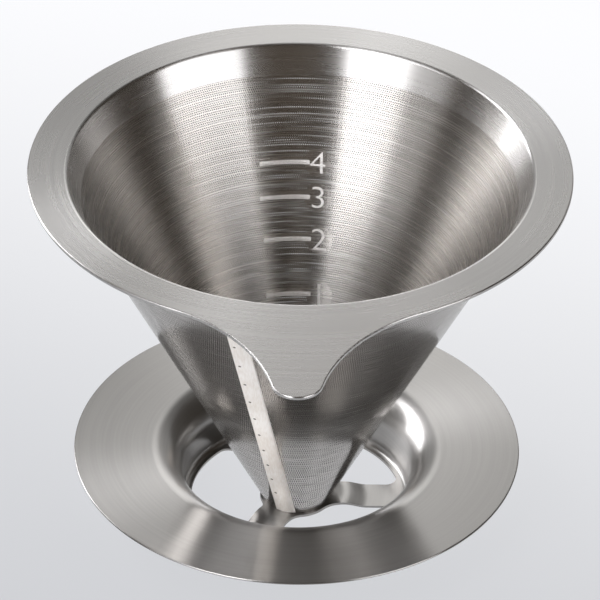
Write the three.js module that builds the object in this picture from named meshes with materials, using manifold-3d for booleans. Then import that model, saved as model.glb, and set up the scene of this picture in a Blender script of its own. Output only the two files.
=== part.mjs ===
// A paperless pour-over coffee dripper in stainless steel sheet: a pressed collar with a flat handle
// tab, a two-layer mesh cone, a small cup that closes the cone's tip, and a saucer that carries the
// cone on three arms and stands on a carafe's mouth.
//
// Millimetres, +Z up. The origin is on the cone's axis, at the underside of the saucer's hub.
// The handle tab points to -Y.
import * as THREE from "three";
import { mergeVertices } from "three/addons/utils/BufferGeometryUtils.js";
import Module from "manifold-3d";

const wasm = await Module();
wasm.setup();

// ---- driving dimensions -------------------------------------------------------------------------
const STEPS_ROUND = 96; // flat sides on every turned shape
const ARC_ERROR = 0.03; // how far a drawn arc may cut inside its true circle

const RIM_R = 66; // outer radius of the collar's flange
const RIM_TOP_Z = 99.6; // upper face of the flange, which is also the object's height
const RIM_SHEET = 1; // thickness of the flange and of the handle tab
const RIM_EDGE = 0.25; // rounding along the flange's and the tab's cut edges
const LIP_BEND = 1.2; // inner bend between the flange and the skirt
const SKIRT_DROP = 7; // how far the skirt reaches down inside the cone
const SKIRT_SHEET = 0.3; // the sheet is drawn thin where it lines the cone

const TAB_REACH = 93; // from the axis to the tip of the handle tab
const TAB_TIP_R = 6; // radius of the tab's round tip
const TAB_TIP_TURN = THREE.MathUtils.degToRad(13); // where the round tip runs into the flank
const TAB_ROOT_TURN = THREE.MathUtils.degToRad(26); // where a flank leaves the flange's circle
const TAB_TIP_PULL = 10.3; // how far a flank runs straight on from the tip before it turns
const TAB_ROOT_PULL = 15.4; // and how far it follows the flange's tangent at its root
const TAB_FLANK_STEPS = 14;

const CONE_SLOPE = 0.5; // radius gained for each millimetre of height
const CONE_APEX_Z = -15.6; // where the outer mesh's outside would come to a point
const MESH_BOTTOM_Z = 0.8; // the cone's small end stands just over the hub
const OUTER_MESH_SHEET = 0.3;
const INNER_MESH_SHEET = 0.25;
const NEST_GAP = 0.08; // clearance between two nested sheets, measured square to them

const SEAM_TURN = THREE.MathUtils.degToRad(-107); // middle of the outer mesh's lap seam, from +X
const SEAM_WIDTH = 5;
const SEAM_RISE = 0.2; // the lap stands this far proud of the mesh
const SEAM_END_MARGIN = 0.6; // the lap stops this far short of the cone's two ends

const CUP_SHEET = 0.4;
const CUP_RISE = 3; // height of the tip cup's wall

const SAUCER_R = 55.9;
const SAUCER_TOP_Z = 16.3;
const SAUCER_SHEET = 0.6;
const SAUCER_EDGE = 0.2; // rounding along the plate's edge
const THROAT_R = 28.6; // inside of the throat's wall
const SHOULDER_R = 8; // rounding from the plate down into the throat
const FOOT_BEND = 1.5; // inner bend from the throat's wall to the floor
const FLOOR_OPENING_R = 26.5; // outer limit of the three drip openings
const FLOOR_CORNER_R = 2.8; // rounding in the openings' outer corners
const HUB_R = 9;
const ARM_COUNT = 3;
const ARM_HALF_WIDTH = 4.45;
const ARM_ROOT_R = 4; // fillet between an arm and the hub

const STEEL = { color: 0xb9b5ae, roughness: 0.32, metalness: 1 };
const FINE_MESH = { color: 0x9d9891, roughness: 0.4, metalness: 1 };
const COARSE_MESH = { color: 0xa8a39b, roughness: 0.38, metalness: 1 };

// ---- helpers ------------------------------------------------------------------------------------
const CONE_COS = Math.cos(Math.atan(CONE_SLOPE));

// Radius of the cone at a height, for a surface that lies inset square to the outer mesh's outside.
function coneRadius(z, inset) {
  return CONE_SLOPE * (z - CONE_APEX_Z) - inset / CONE_COS;
}

// A closed solid from any geometry: shared corners joined and triangles without area dropped.
function solidFrom(geometry) {
  geometry.deleteAttribute("normal");
  geometry.deleteAttribute("uv");
  const merged = mergeVertices(geometry, 1e-4);
  const index = merged.index.array;
  const triangles = [];
  for (let i = 0; i < index.length; i += 3) {
    const [a, b, c] = [index[i], index[i + 1], index[i + 2]];
    if (a !== b && b !== c && c !== a) triangles.push(a, b, c);
  }
  return new wasm.Manifold(
    new wasm.Mesh({
      numProp: 3,
      vertProperties: new Float32Array(merged.attributes.position.array),
      triVerts: new Uint32Array(triangles),
    }),
  );
}

// A solid of revolution about Z from [radius, height] points, listed with the material on their left.
function turned(outline) {
  const points = outline.map(([r, z]) => new THREE.Vector2(r, z));
  const first = points[0];
  if (first.x > 0) points.push(first.clone());
  const geometry = new THREE.LatheGeometry(points, STEPS_ROUND);
  geometry.rotateX(Math.PI / 2);
  return solidFrom(geometry);
}

// Points along a circle from one direction to another, in either sense, the last one left out.
function arc(centreX, centreY, radius, from, to) {
  const widest = 2 * Math.acos(1 - ARC_ERROR / radius);
  const steps = Math.ceil(Math.abs(to - from) / widest);
  return Array.from({ length: steps }, (_, i) => {
    const turn = from + ((to - from) * i) / steps;
    return new THREE.Vector2(centreX + radius * Math.cos(turn), centreY + radius * Math.sin(turn));
  });
}

// A flat plate cut to a shape, with softened edges, standing on the height z.
function plate(outline, holes, z, thickness, edge) {
  const shape = new THREE.Shape(outline);
  shape.holes.push(...holes.map((points) => new THREE.Path(points)));
  const geometry = new THREE.ExtrudeGeometry(shape, {
    depth: thickness - 2 * edge,
    bevelEnabled: edge > 0,
    bevelThickness: edge,
    bevelSize: edge,
    bevelOffset: -edge,
    bevelSegments: 2,
  });
  geometry.translate(0, 0, z + edge);
  return solidFrom(geometry);
}

// Points on a round stretch of an outline, from one angle to another, both included.
function bend(centreR, centreZ, radius, from, to, steps) {
  return Array.from({ length: steps + 1 }, (_, i) => {
    const turn = from + ((to - from) * i) / steps;
    return [centreR + radius * Math.cos(turn), centreZ + radius * Math.sin(turn)];
  });
}

function part(name, solid, look) {
  const { vertProperties, triVerts } = solid.getMesh();
  const geometry = new THREE.BufferGeometry();
  geometry.setAttribute("position", new THREE.BufferAttribute(vertProperties, 3));
  geometry.setIndex(new THREE.BufferAttribute(triVerts, 1));
  geometry.computeVertexNormals();
  const mesh = new THREE.Mesh(geometry, new THREE.MeshStandardMaterial(look));
  mesh.name = name;
  return mesh;
}

// ---- collar: flange, handle tab and skirt -------------------------------------------------------
// The flange's circle runs into the tab through two hollow flanks and one round tip.
function collarOutline() {
  const rootTurn = TAB_ROOT_TURN - Math.PI / 2; // direction of the flank's root, on the +X side
  const tipTurn = -TAB_TIP_TURN;
  const tipCentre = new THREE.Vector2(0, TAB_TIP_R - TAB_REACH);
  const root = new THREE.Vector2(Math.cos(rootTurn), Math.sin(rootTurn)).multiplyScalar(RIM_R);
  const tip = new THREE.Vector2(Math.cos(tipTurn), Math.sin(tipTurn));
  tip.multiplyScalar(TAB_TIP_R).add(tipCentre);
  const tipGrip = new THREE.Vector2(-Math.sin(tipTurn), Math.cos(tipTurn));
  tipGrip.multiplyScalar(TAB_TIP_PULL).add(tip);
  const rootGrip = new THREE.Vector2(Math.sin(rootTurn), -Math.cos(rootTurn));
  rootGrip.multiplyScalar(TAB_ROOT_PULL).add(root);
  const flank = new THREE.CubicBezierCurve(tip, tipGrip, rootGrip, root).getPoints(TAB_FLANK_STEPS);
  const mirrored = flank.map(({ x, y }) => new THREE.Vector2(-x, y)).reverse();
  return [
    ...arc(0, 0, RIM_R, rootTurn, Math.PI - rootTurn),
    ...mirrored.slice(0, -1),
    ...arc(0, tipCentre.y, TAB_TIP_R, -Math.PI - tipTurn, tipTurn),
    ...flank.slice(0, -1),
  ];
}

function makeCollar() {
  const lining = OUTER_MESH_SHEET + INNER_MESH_SHEET + 2 * NEST_GAP;
  const inset = lining + SKIRT_SHEET;
  const overlap = 4; // how far the turned lip reaches under the flange, where the two are joined
  const foot = RIM_TOP_Z - SKIRT_DROP;
  const under = RIM_TOP_Z - RIM_SHEET;
  const quarterLess = Math.PI / 2 - Math.atan(CONE_SLOPE); // how far the sheet turns at the lip
  const lipR = coneRadius(RIM_TOP_Z, inset) + LIP_BEND * Math.tan(quarterLess / 2);
  const lip = bend(lipR, RIM_TOP_Z - LIP_BEND, LIP_BEND, Math.PI / 2, Math.PI / 2 + quarterLess, 5);
  const ring = turned([
    [lipR + overlap, under],
    [lipR + overlap, RIM_TOP_Z],
    ...lip,
    [coneRadius(foot, inset), foot],
    [coneRadius(foot, lining), foot],
    [coneRadius(under, lining), under],
  ]);
  const hole = arc(0, 0, lipR + overlap / 2, 0, 2 * Math.PI);
  return plate(collarOutline(), [hole], under, RIM_SHEET, RIM_EDGE).add(ring);
}

// ---- mesh cone ----------------------------------------------------------------------------------
// One sheet of the cone, between two insets from the outer mesh's outside.
function coneSheet(bottomZ, topZ, inset, thickness) {
  return turned([
    [coneRadius(bottomZ, inset), bottomZ],
    [coneRadius(topZ, inset), topZ],
    [coneRadius(topZ, inset + thickness), topZ],
    [coneRadius(bottomZ, inset + thickness), bottomZ],
  ]);
}

// The outer mesh is a rolled sheet whose ends lap over each other along one straight strip.
function makeOuterMesh() {
  const top = RIM_TOP_Z - RIM_SHEET - NEST_GAP;
  const body = coneSheet(MESH_BOTTOM_Z, top, 0, OUTER_MESH_SHEET);
  const low = MESH_BOTTOM_Z + SEAM_END_MARGIN;
  const high = top - SEAM_END_MARGIN;
  const lapShell = coneSheet(low, high, -SEAM_RISE, SEAM_RISE + OUTER_MESH_SHEET / 2);
  const slab = new THREE.BoxGeometry(RIM_R, SEAM_WIDTH, RIM_TOP_Z);
  slab.translate(RIM_R / 2, 0, RIM_TOP_Z / 2);
  slab.rotateZ(SEAM_TURN);
  return body.add(lapShell.intersect(solidFrom(slab)));
}

function makeInnerMesh() {
  const top = RIM_TOP_Z - RIM_SHEET - NEST_GAP;
  return coneSheet(MESH_BOTTOM_Z, top, OUTER_MESH_SHEET + NEST_GAP, INNER_MESH_SHEET);
}

// A pressed cup that lines the cone's small end, so that the grounds stay inside.
function makeTipCup() {
  const inset = OUTER_MESH_SHEET + INNER_MESH_SHEET + 2 * NEST_GAP;
  const top = MESH_BOTTOM_Z + CUP_RISE;
  const floorTop = MESH_BOTTOM_Z + CUP_SHEET;
  return turned([
    [0, MESH_BOTTOM_Z],
    [coneRadius(MESH_BOTTOM_Z, inset), MESH_BOTTOM_Z],
    [coneRadius(top, inset), top],
    [coneRadius(top, inset + CUP_SHEET), top],
    [coneRadius(floorTop, inset + CUP_SHEET), floorTop],
    [0, floorTop],
  ]);
}

// ---- saucer -------------------------------------------------------------------------------------
// One drip opening between two arms, bounded only by arcs and the arms' straight edges.
function dripOpening(middle) {
  const halfStep = Math.PI / ARM_COUNT;
  const cornerAt = FLOOR_OPENING_R - FLOOR_CORNER_R;
  const cornerTurn = Math.asin((ARM_HALF_WIDTH + FLOOR_CORNER_R) / cornerAt);
  const rootAt = HUB_R + ARM_ROOT_R;
  const rootTurn = Math.asin((ARM_HALF_WIDTH + ARM_ROOT_R) / rootAt);
  const start = middle - halfStep; // direction of the arm before the opening
  const end = middle + halfStep; // direction of the arm after it
  const quarter = Math.PI / 2;
  const inTurn = (radius, turn) => [radius * Math.cos(turn), radius * Math.sin(turn)];
  return [
    ...arc(0, 0, FLOOR_OPENING_R, start + cornerTurn, end - cornerTurn),
    ...arc(...inTurn(cornerAt, end - cornerTurn), FLOOR_CORNER_R, end - cornerTurn, end + quarter),
    ...arc(...inTurn(rootAt, end - rootTurn), ARM_ROOT_R, end + quarter, end - rootTurn + Math.PI),
    ...arc(0, 0, HUB_R, end - rootTurn, start + rootTurn),
    ...arc(...inTurn(rootAt, start + rootTurn), ARM_ROOT_R, start + rootTurn + Math.PI, start + 3 * quarter),
    ...arc(...inTurn(cornerAt, start + cornerTurn), FLOOR_CORNER_R, start - quarter, start + cornerTurn),
  ];
}

function makeSaucer() {
  const underZ = SAUCER_TOP_Z - SAUCER_SHEET;
  const shoulderZ = SAUCER_TOP_Z - SHOULDER_R;
  const shoulderAt = THROAT_R + SHOULDER_R;
  const footZ = SAUCER_SHEET + FOOT_BEND;
  const footAt = THROAT_R - FOOT_BEND;
  const floorOverlap = 0.3; // the turned wall and the flat floor share this much, where they join
  const shell = turned([
    [footAt - floorOverlap, 0],
    ...bend(footAt, footZ, FOOT_BEND + SAUCER_SHEET, -Math.PI / 2, 0, 4),
    ...bend(shoulderAt, shoulderZ, SHOULDER_R - SAUCER_SHEET, Math.PI, Math.PI / 2, 6),
    [SAUCER_R - SAUCER_EDGE, underZ],
    [SAUCER_R, underZ + SAUCER_EDGE],
    [SAUCER_R, SAUCER_TOP_Z - SAUCER_EDGE],
    [SAUCER_R - SAUCER_EDGE, SAUCER_TOP_Z],
    ...bend(shoulderAt, shoulderZ, SHOULDER_R, Math.PI / 2, Math.PI, 7),
    ...bend(footAt, footZ, FOOT_BEND, 0, -Math.PI / 2, 3),
    [footAt - floorOverlap, SAUCER_SHEET],
  ]);
  const openings = Array.from({ length: ARM_COUNT }, (_, i) =>
    dripOpening(((2 * i + 1) * Math.PI) / ARM_COUNT),
  );
  const floor = arc(0, 0, footAt, 0, 2 * Math.PI);
  return shell.add(plate(floor, openings, 0, SAUCER_SHEET, 0));
}

// ---- assembly -----------------------------------------------------------------------------------
const dripper = new THREE.Group();
dripper.add(
  part("rim_collar", makeCollar(), STEEL),
  part("outer_mesh_cone", makeOuterMesh(), COARSE_MESH),
  part("inner_filter_cone", makeInnerMesh(), FINE_MESH),
  part("tip_cup", makeTipCup(), STEEL),
  part("base_saucer", makeSaucer(), STEEL),
);

export default dripper;
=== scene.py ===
# %% [markdown]
# # A pour-over dripper in turned steel and etched mesh
# The real object is five pieces of thin stainless sheet, welded together: a pressed collar with a
# flat handle tab, two nested mesh cones, a cup in the cone's tip, and a saucer with three arms.
# The lesson loads the measured frame first, and then dresses every piece of it.

# %% Load the frame
import math

import bmesh
import bpy
import numpy as np
from mathutils import Matrix, Vector
from mathutils.geometry import delaunay_2d_cdt


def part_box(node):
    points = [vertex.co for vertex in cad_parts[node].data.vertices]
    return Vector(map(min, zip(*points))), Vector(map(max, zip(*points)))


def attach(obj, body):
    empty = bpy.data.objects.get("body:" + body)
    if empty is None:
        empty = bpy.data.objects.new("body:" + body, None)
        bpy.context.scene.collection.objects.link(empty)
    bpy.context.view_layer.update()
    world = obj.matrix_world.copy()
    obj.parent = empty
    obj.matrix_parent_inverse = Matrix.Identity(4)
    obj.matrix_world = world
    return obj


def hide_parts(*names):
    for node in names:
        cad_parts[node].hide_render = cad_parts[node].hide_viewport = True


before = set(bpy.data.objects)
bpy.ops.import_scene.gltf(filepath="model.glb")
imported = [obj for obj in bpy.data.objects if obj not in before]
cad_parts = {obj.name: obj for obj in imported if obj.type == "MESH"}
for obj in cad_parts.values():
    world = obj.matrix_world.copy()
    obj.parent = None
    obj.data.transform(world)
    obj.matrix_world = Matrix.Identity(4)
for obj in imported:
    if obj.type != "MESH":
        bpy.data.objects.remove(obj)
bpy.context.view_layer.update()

MM = 0.001  # everything is modelled in metres, and most sizes here read better in millimetres
print("nodes:", list(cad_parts))


def add_object(name, data):
    """An object for a mesh, a curve or a camera, linked to the scene."""
    thing = bpy.data.objects.new(name, data)
    bpy.context.scene.collection.objects.link(thing)
    return thing


def add_mesh(name, places, faces):
    """An object whose mesh is made from places and faces."""
    mesh = bpy.data.meshes.new(name)
    mesh.from_pydata(places, [], faces)
    return add_object(name, mesh)

# %% [markdown]
# ## Sizes
# The outer sizes are read from the frame's boxes, so that the visible model and the measured one
# can never drift apart. Only bends, sheet thicknesses and small features are named in the script,
# because a box doesn't hold them.

# %% Sizes taken from the frame
collar_low, collar_high = (Vector(corner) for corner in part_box("rim_collar"))
mesh_low, mesh_high = (Vector(corner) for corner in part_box("outer_mesh_cone"))
saucer_high = Vector(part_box("base_saucer")[1])
cup_low, cup_high = (Vector(corner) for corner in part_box("tip_cup"))

RIM_R = collar_high.x
RIM_TOP = collar_high.z
TAB_REACH = -collar_low.y
SKIRT_FOOT = collar_low.z
CONE_SLOPE = 0.5  # radius gained for each unit of height
CONE_TURN = math.atan(CONE_SLOPE)  # half of the cone's angle
CONE_APEX = mesh_high.z - mesh_high.x / CONE_SLOPE
SAUCER_R = saucer_high.x
SAUCER_TOP = saucer_high.z
print(f"rim {2 * RIM_R / MM:.1f} mm across, top at {RIM_TOP / MM:.1f} mm")
print(f"cone's apex at {CONE_APEX / MM:.2f} mm")


def cone_radius(z, inset=0.0):
    """Radius of the cone at a height, on a surface that lies inset square to the outer mesh."""
    return CONE_SLOPE * (z - CONE_APEX) - inset / math.cos(CONE_TURN)

# %% [markdown]
# ## Camera
# A long lens from far away keeps the circles of the rim and of the saucer true. The camera looks
# down by 35 degrees and leans by less than one. Its three axes are worked out one by one, because
# so small a lean is easier to say as a turn of the side axis than as one of three angles.

# %% Camera
CAMERA_PLACE = Vector((0.34 * MM, -986.44 * MM, RIM_TOP + 658.76 * MM))
CAMERA_DOWN = math.radians(35.266)
CAMERA_LEAN = math.radians(0.781)
CAMERA_LENS = 294.5  # millimetres
CAMERA_SENSOR = 36

ahead = Vector((0, math.cos(CAMERA_DOWN), -math.sin(CAMERA_DOWN)))
level_up = Vector((0, math.sin(CAMERA_DOWN), math.cos(CAMERA_DOWN)))
side = math.cos(CAMERA_LEAN) * Vector((1, 0, 0)) + math.sin(CAMERA_LEAN) * level_up
camera_data = bpy.data.cameras.new("camera")
camera_data.lens = CAMERA_LENS
camera_data.sensor_width = CAMERA_SENSOR
camera = add_object("camera", camera_data)
axes = Matrix((side, side.cross(ahead), -ahead)).transposed()
camera.matrix_world = Matrix.Translation(CAMERA_PLACE) @ axes.to_4x4()
bpy.context.scene.camera = camera
bpy.context.scene.view_settings.view_transform = "Standard"

# %% [markdown]
# ## Shader maths as plain expressions
# A material is a tree of nodes, and wiring dozens of Math nodes by hand hides the formula. The
# class below wraps one output socket, so that a sum or a product of two adds the right node. One
# function makes every other kind of node from its type, its settings and its sockets' values.
# The same two helpers serve shader trees and geometry trees.

# %% Node helpers
def add_node(tree, kind, settings=None, values=None):
    """A node of any kind: settings are its properties, values its inputs by name or position."""
    node = tree.nodes.new(kind)
    for key, value in (settings or {}).items():
        setattr(node, key, value)
    for key, value in (values or {}).items():
        feed(tree, node.inputs[key], value)
    return node


def feed(tree, socket, value):
    """Link a wrapped output to an input socket, or set the socket's own value."""
    if isinstance(value, Wire):
        tree.links.new(value.socket, socket)
    elif isinstance(value, bpy.types.NodeSocket):
        tree.links.new(value, socket)
    else:
        socket.default_value = value


class Wire:
    """One output socket, used as a number in Python expressions."""

    def __init__(self, tree, socket):
        self.tree = tree
        self.socket = socket

    def math(self, operation, *others, first=None):
        kind = {"operation": operation}
        values = dict(enumerate((self if first is None else first, *others)))
        node = add_node(self.tree, "ShaderNodeMath", kind, values)
        return Wire(self.tree, node.outputs[0])

    def __add__(self, other):
        return self.math("ADD", other)

    def __sub__(self, other):
        return self.math("SUBTRACT", other)

    def __rsub__(self, other):
        return self.math("SUBTRACT", self, first=other)

    def __mul__(self, other):
        return self.math("MULTIPLY", other)

    def __truediv__(self, other):
        return self.math("DIVIDE", other)

    def __rtruediv__(self, other):
        return self.math("DIVIDE", self, first=other)

    __radd__ = __add__
    __rmul__ = __mul__

    def floor(self):
        return self.math("FLOOR")

    def fraction(self):
        return self.math("FRACT")

    def magnitude(self):
        return self.math("ABSOLUTE")

    def power(self, exponent):
        return self.math("POWER", exponent)

    def highest(self, other):
        return self.math("MAXIMUM", other)

    def step(self, start, end):
        """0 below start and 1 above end, with a smooth ramp between; start may be the larger."""
        values = {"Value": self, "From Min": start, "From Max": end}
        if start > end:
            values = {"Value": self, "From Min": end, "From Max": start,
                      "To Min": 1.0, "To Max": 0.0}
        smooth = {"interpolation_type": "SMOOTHSTEP"}
        node = add_node(self.tree, "ShaderNodeMapRange", smooth, values)
        return Wire(self.tree, node.outputs[0])


def length(a, b):
    """Length of the pair of numbers (a, b)."""
    return (a * a + b * b).power(0.5)

# %% [markdown]
# ## Bodies built from rings
# Turned and pressed sheet is easiest to write as a chain of points in a half plane, each with the
# direction its surface faces. Sweeping the chain round the axis gives the mesh. Because the true
# normals are known, they are stored on the mesh, so the steel's long reflections show no facets.

# %% Chains and rings
def flat(points, normal):
    """A straight stretch: (radius, height) points that all face the same way."""
    return [(r, z, *normal) for r, z in points]


def bend(centre, radius, start, end, steps, hollow=False):
    """A round stretch between two directions, in degrees; a hollow one faces its own centre."""
    facing = -1 if hollow else 1
    chain = []
    for turn in np.radians(np.linspace(start, end, steps + 1)):
        across, up = math.cos(turn), math.sin(turn)
        place = centre[0] + radius * across, centre[1] + radius * up
        chain.append((*place, facing * across, facing * up))
    return chain


def solid_mesh(name, places, faces, normals, wall_normals=()):
    """An object from arrays; the last faces may have their own normals, one for each corner."""
    faces = [tuple(int(i) for i in face) for face in faces]
    thing = add_mesh(name, np.reshape(places, (-1, 3)).tolist(), faces)
    mesh = thing.data
    mesh.shade_smooth()
    corners = np.reshape(normals, (-1, 3))[[i for face in faces for i in face]]
    if len(wall_normals):
        corners[-len(wall_normals):] = wall_normals
    mesh.normals_split_custom_set(corners.tolist())
    print(f"{name}: {len(mesh.polygons)} faces")
    return thing


def grid_faces(turns, steps, closed=True):
    """Quads between neighbouring rings of steps points; the chain closes on itself if asked."""
    last = steps if closed else steps - 1
    quads = []
    for i in range(turns):
        row, next_row = i * steps, (i + 1) % turns * steps
        for j in range(last):
            k = (j + 1) % steps
            quads.append((row + j, next_row + j, next_row + k, row + k))
    return quads


def sweep(loop, turns):
    """Places and normals of a (radius, height, facing) loop at every direction round the axis."""
    loop = np.asarray(loop)
    across = np.stack([np.cos(turns), np.sin(turns)], axis=1)[:, None, :]
    r, z, facing_r, facing_z = (loop[None, :, i:i + 1] for i in range(4))
    copies = (len(turns), 1, 1)
    places = np.concatenate([r * across, np.tile(z, copies)], 2)
    normals = np.concatenate([facing_r * across, np.tile(facing_z, copies)], 2)
    return places, normals


def even_turns(count):
    """Directions evenly spaced round the axis."""
    return np.linspace(0, 2 * math.pi, count, endpoint=False)

# %% [markdown]
# ## Collar
# The collar is one pressing: a flat flange, a small rolled lip, a short skirt that lines the mouth
# of the cone, and the handle tab, which is simply the flange drawn out in its own plane. A drawn
# outline with a bevel could give the plate, but then the lip would be a second body. Here one loop
# of points goes round the whole section at every direction, and only its outermost points follow
# the tab.

# %% Outline of the flange and the tab
COLLAR_SHEET = 1.0 * MM
COLLAR_EDGE = 0.35 * MM  # rounding of the cut edge
TAB_TIP_R = 6.0 * MM
TAB_TIP_TURN = math.radians(13)  # where the round tip runs into the flank
TAB_ROOT_TURN = math.radians(26)  # where a flank leaves the flange's circle
TAB_TIP_PULL = 10.3 * MM
TAB_ROOT_PULL = 15.4 * MM
TAB_TIP_POINTS = 18
TAB_FLANK_POINTS = 40
HALF_RIM_POINTS = 110


def collar_outline():
    """Places and outward directions along half of the outline, from the tab's tip."""
    tip_turns = np.linspace(math.pi / 2, TAB_TIP_TURN, TAB_TIP_POINTS, endpoint=False)
    tip_out = np.stack([np.cos(tip_turns), np.sin(tip_turns)], 1)
    tip_places = TAB_TIP_R * tip_out + [0, TAB_REACH - TAB_TIP_R]
    start = TAB_TIP_R * np.array([math.cos(TAB_TIP_TURN), math.sin(TAB_TIP_TURN)])
    start += [0, TAB_REACH - TAB_TIP_R]
    end = RIM_R * np.array([math.sin(TAB_ROOT_TURN), math.cos(TAB_ROOT_TURN)])
    start_grip = start + TAB_TIP_PULL * np.array([math.sin(TAB_TIP_TURN), -math.cos(TAB_TIP_TURN)])
    end_grip = end - TAB_ROOT_PULL * np.array([math.cos(TAB_ROOT_TURN), -math.sin(TAB_ROOT_TURN)])
    t = np.linspace(0, 1, TAB_FLANK_POINTS, endpoint=False)[:, None]
    u = 1 - t
    flank = u**3 * start + 3 * u**2 * t * start_grip + 3 * u * t**2 * end_grip + t**3 * end
    along = u**2 * (start_grip - start) + 2 * u * t * (end_grip - start_grip)
    along += t**2 * (end - end_grip)
    flank_out = np.stack([-along[:, 1], along[:, 0]], 1)
    flank_out /= np.linalg.norm(flank_out, axis=1)[:, None]
    rim_turns = np.linspace(TAB_ROOT_TURN, math.pi, HALF_RIM_POINTS)
    rim_out = np.stack([np.sin(rim_turns), np.cos(rim_turns)], 1)
    places = np.vstack([tip_places, flank, RIM_R * rim_out])
    facing = np.vstack([tip_out, flank_out, rim_out])
    return places, facing


half_places, half_facing = collar_outline()
mirror = np.array([-1, 1])
outline = np.vstack([half_places, mirror * half_places[-2:0:-1]]) * [1, -1]
outline_facing = np.vstack([half_facing, mirror * half_facing[-2:0:-1]]) * [1, -1]
collar_turns = np.arctan2(outline[:, 1], outline[:, 0])
print(f"{len(outline)} points round the collar, out to {-outline[:, 1].min() / MM:.1f} mm")

# %% [markdown]
# The section starts where the flat flange meets the lip, runs down the skirt, round its foot and
# back up to the flange's underside. The rings of the outline then close it, with a small quarter
# round at both edges of the cut.

# %% Collar's body
LIP_BEND = 1.2 * MM
LINING = 0.71 * MM  # the two mesh sheets and their gaps, which the skirt lines
SKIRT_SHEET = 0.3 * MM
FLANGE_JOIN_R = 61 * MM  # the turned lip ends here and the flat flange goes on
LIP_STEPS = 8
SKIRT_STEPS = 6
EDGE_STEPS = 6  # round a half-round edge
QUARTER_POINTS = 5  # round a quarter-round edge
CONE_TURN_DEG = math.degrees(CONE_TURN)


def collar_section():
    """The part of the section that is the same in every direction: lip, skirt and underside."""
    lie = 90 - CONE_TURN_DEG
    skirt_normal = (-math.cos(CONE_TURN), math.sin(CONE_TURN))
    inset = LINING + SKIRT_SHEET
    lip_r = cone_radius(RIM_TOP, inset) + LIP_BEND * math.tan(math.radians(lie / 2))
    foot = SKIRT_FOOT + SKIRT_SHEET / 2
    under = RIM_TOP - COLLAR_SHEET
    foot_middle = (cone_radius(foot, inset - SKIRT_SHEET / 2), foot)
    edge = bend(foot_middle, SKIRT_SHEET / 2, 180 - CONE_TURN_DEG, 360 - CONE_TURN_DEG, EDGE_STEPS)
    skirt_heights = np.linspace(RIM_TOP - 2 * LIP_BEND, foot, SKIRT_STEPS)[:-1]
    return (
        flat([(FLANGE_JOIN_R, RIM_TOP)], (0, 1))
        + bend((lip_r, RIM_TOP - LIP_BEND), LIP_BEND, 90, 90 + lie, LIP_STEPS)
        + flat([(cone_radius(z, inset), z) for z in skirt_heights], skirt_normal)
        + edge
        + flat([(cone_radius(under, LINING), under)], (0, -1))
        + flat([(FLANGE_JOIN_R, under)], (0, -1))
    )


def make_collar():
    """The swept section, closed round the flange by rings that follow the outline's cut edge."""
    places, normals = sweep(collar_section(), collar_turns)
    quarter = np.linspace(0, 90, QUARTER_POINTS)
    rounding = np.radians(np.concatenate([quarter - 90, quarter]))
    lift = np.repeat([COLLAR_EDGE - COLLAR_SHEET, -COLLAR_EDGE], QUARTER_POINTS)
    rings, ring_normals = [], []
    for turn, height in zip(rounding, lift):
        ring = outline + outline_facing * COLLAR_EDGE * (math.cos(turn) - 1)
        z = RIM_TOP + height + COLLAR_EDGE * math.sin(turn)
        rings.append(np.column_stack([ring, np.full(len(ring), z)]))
        facing = math.cos(turn) * outline_facing
        ring_normals.append(np.column_stack([facing, np.full(len(ring), math.sin(turn))]))
    places = np.concatenate([places, np.stack(rings, 1)], 1)
    normals = np.concatenate([normals, np.stack(ring_normals, 1)], 1)
    return solid_mesh("collar", places, grid_faces(*places.shape[:2]), normals)


collar = make_collar()

# %% [markdown]
# ## Cup
# The cup closes the tip of the cone. It is drawn from one chain of points that starts and ends on
# the axis: the underside, the rim, a short wall that follows the cone's slope, a tight bend and a
# flat floor. A Screw modifier could turn the chain too, but it wouldn't keep the known normals.

# %% Cup's body
CUP_SHEET = 0.4 * MM
CUP_BEND = 1.0 * MM
CUP_INSET = LINING
CUP_WALL_POINTS = 3
CUP_FLOOR_POINTS = 6
CUP_BEND_STEPS = 6
AROUND_CUP = 96


def turned_solid(name, chain, count):
    """Sweep a chain that starts and ends on the axis, with one point at each pole."""
    middle = chain[1:-1]
    places, normals = sweep(middle, even_turns(count))
    steps = len(middle)
    poles = count * steps + np.arange(2)
    faces = grid_faces(count, steps, closed=False)
    for i in range(count):
        ahead = (i + 1) % count
        faces.append((poles[0], ahead * steps, i * steps))
        faces.append((poles[1], i * steps + steps - 1, ahead * steps + steps - 1))
    pole_places = [(0, 0, chain[0][1]), (0, 0, chain[-1][1])]
    pole_normals = [(0, 0, chain[0][3]), (0, 0, chain[-1][3])]
    places = np.vstack([places.reshape(-1, 3), pole_places])
    normals = np.vstack([normals.reshape(-1, 3), pole_normals])
    return solid_mesh(name, places, faces, normals)


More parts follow.
